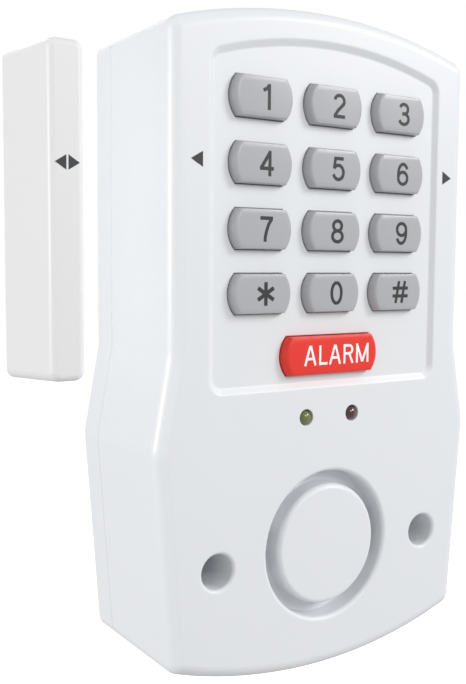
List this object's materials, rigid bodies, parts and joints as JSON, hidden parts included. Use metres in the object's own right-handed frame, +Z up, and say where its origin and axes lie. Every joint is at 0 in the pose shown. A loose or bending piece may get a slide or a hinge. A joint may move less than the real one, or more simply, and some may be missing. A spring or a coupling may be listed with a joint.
{
  "type": "alarm keypad panel",
  "caption": "Wall-mounted battery alarm with a telephone-style keypad, red alarm key, two indicator lights, a round siren, wall-screw holes and a separate magnet piece for the door edge.",
  "frame": {"origin": "midway between the two wall-screw holes, in the wall plane", "axes": "+Z up along the housing, +X to the right seen from the front, +Y into the wall, so the front faces -Y"},
  "size_m": [0.0944, 0.0314, 0.1295],
  "materials": {
    "housing_white": "satin moulded",
    "key_grey": "satin moulded",
    "panic_red": "satin moulded",
    "legend_dark": "printed",
    "legend_white": "printed",
    "dome_rubber": "soft silicone",
    "carbon_black": "matt",
    "board_green": "solder mask",
    "chip_black": "moulded epoxy",
    "component_tan": "glazed",
    "ferrite_dark": "sintered",
    "reed_glass": "drawn glass",
    "led_green": "cast epoxy",
    "led_red": "cast epoxy",
    "chamber_grey": "moulded",
    "sounder_brass": "rolled",
    "sounder_ceramic": "fired and silvered",
    "lead_red": "flexible sleeve",
    "cell_jacket": "shrink sleeve",
    "contact_steel": "nickel plated",
    "screw_steel": "zinc plated",
    "magnet_black": "sintered",
    "pad_foam": "foam"
  },
  "bodies": {
    "alarm_unit": {"front_housing": "housing_white", "back_cover": "housing_white", "dome_mat": "dome_rubber", "contact_pills": "carbon_black", "circuit_board": "board_green", "microcontroller": "chip_black", "board_parts": "component_tan", "step_up_coil": "ferrite_dark", "reed_switch_left": "reed_glass", "reed_switch_right": "reed_glass", "led_green": "led_green", "led_red": "led_red", "siren_cap": "housing_white", "siren_chamber": "chamber_grey", "piezo_disc": "sounder_brass", "piezo_ceramic": "sounder_ceramic", "siren_leads": "lead_red", "battery_cell_1": "cell_jacket", "battery_cell_2": "cell_jacket", "battery_cell_3": "cell_jacket", "battery_cell_4": "cell_jacket", "contact_springs": "contact_steel", "contact_plates": "contact_steel", "battery_leads": "lead_red", "case_screws": "screw_steel", "board_screws": "screw_steel", "siren_screws": "screw_steel"},
    "key_1": {"key_1": "key_grey"},
    "key_2": {"key_2": "key_grey"},
    "key_3": {"key_3": "key_grey"},
    "key_4": {"key_4": "key_grey"},
    "key_5": {"key_5": "key_grey"},
    "key_6": {"key_6": "key_grey"},
    "key_7": {"key_7": "key_grey"},
    "key_8": {"key_8": "key_grey"},
    "key_9": {"key_9": "key_grey"},
    "key_star": {"key_star": "key_grey"},
    "key_0": {"key_0": "key_grey"},
    "key_hash": {"key_hash": "key_grey"},
    "panic_key": {"panic_key": "panic_red"},
    "battery_door": {"battery_door": "housing_white"},
    "magnet_piece": {"magnet_case": "housing_white", "magnet_base": "housing_white", "bar_magnet": "magnet_black", "magnet_pad": "pad_foam"}
  },
  "joints": [
    {"name": "key_1_press", "type": "slide", "parent": "alarm_unit", "child": "key_1", "axis": [0, 1, 0], "range_m": [0, 0.001], "stiffness_N_per_m": 400, "springref_m": -0.001, "deforming": ["dome_mat", "contact_pills"]},
    {"name": "key_2_press", "type": "slide", "parent": "alarm_unit", "child": "key_2", "axis": [0, 1, 0], "range_m": [0, 0.001], "stiffness_N_per_m": 400, "springref_m": -0.001, "deforming": ["dome_mat", "contact_pills"]},
    {"name": "key_3_press", "type": "slide", "parent": "alarm_unit", "child": "key_3", "axis": [0, 1, 0], "range_m": [0, 0.001], "stiffness_N_per_m": 400, "springref_m": -0.001, "deforming": ["dome_mat", "contact_pills"]},
    {"name": "key_4_press", "type": "slide", "parent": "alarm_unit", "child": "key_4", "axis": [0, 1, 0], "range_m": [0, 0.001], "stiffness_N_per_m": 400, "springref_m": -0.001, "deforming": ["dome_mat", "contact_pills"]},
    {"name": "key_5_press", "type": "slide", "parent": "alarm_unit", "child": "key_5", "axis": [0, 1, 0], "range_m": [0, 0.001], "stiffness_N_per_m": 400, "springref_m": -0.001, "deforming": ["dome_mat", "contact_pills"]},
    {"name": "key_6_press", "type": "slide", "parent": "alarm_unit", "child": "key_6", "axis": [0, 1, 0], "range_m": [0, 0.001], "stiffness_N_per_m": 400, "springref_m": -0.001, "deforming": ["dome_mat", "contact_pills"]},
    {"name": "key_7_press", "type": "slide", "parent": "alarm_unit", "child": "key_7", "axis": [0, 1, 0], "range_m": [0, 0.001], "stiffness_N_per_m": 400, "springref_m": -0.001, "deforming": ["dome_mat", "contact_pills"]},
    {"name": "key_8_press", "type": "slide", "parent": "alarm_unit", "child": "key_8", "axis": [0, 1, 0], "range_m": [0, 0.001], "stiffness_N_per_m": 400, "springref_m": -0.001, "deforming": ["dome_mat", "contact_pills"]},
    {"name": "key_9_press", "type": "slide", "parent": "alarm_unit", "child": "key_9", "axis": [0, 1, 0], "range_m": [0, 0.001], "stiffness_N_per_m": 400, "springref_m": -0.001, "deforming": ["dome_mat", "contact_pills"]},
    {"name": "key_star_press", "type": "slide", "parent": "alarm_unit", "child": "key_star", "axis": [0, 1, 0], "range_m": [0, 0.001], "stiffness_N_per_m": 400, "springref_m": -0.001, "deforming": ["dome_mat", "contact_pills"]},
    {"name": "key_0_press", "type": "slide", "parent": "alarm_unit", "child": "key_0", "axis": [0, 1, 0], "range_m": [0, 0.001], "stiffness_N_per_m": 400, "springref_m": -0.001, "deforming": ["dome_mat", "contact_pills"]},
    {"name": "key_hash_press", "type": "slide", "parent": "alarm_unit", "child": "key_hash", "axis": [0, 1, 0], "range_m": [0, 0.001], "stiffness_N_per_m": 400, "springref_m": -0.001, "deforming": ["dome_mat", "contact_pills"]},
    {"name": "panic_key_press", "type": "slide", "parent": "alarm_unit", "child": "panic_key", "axis": [0, 1, 0], "range_m": [0, 0.001], "stiffness_N_per_m": 400, "springref_m": -0.001, "deforming": ["dome_mat", "contact_pills"]},
    {"name": "battery_door_off", "type": "slide", "parent": "alarm_unit", "child": "battery_door", "axis": [0, 1, 0], "range_m": [0, 0.025]},
    {"name": "magnet_away", "type": "slide", "parent": "alarm_unit", "child": "magnet_piece", "axis": [-1, 0, 0], "range_m": [0, 0.05]}
  ]
}
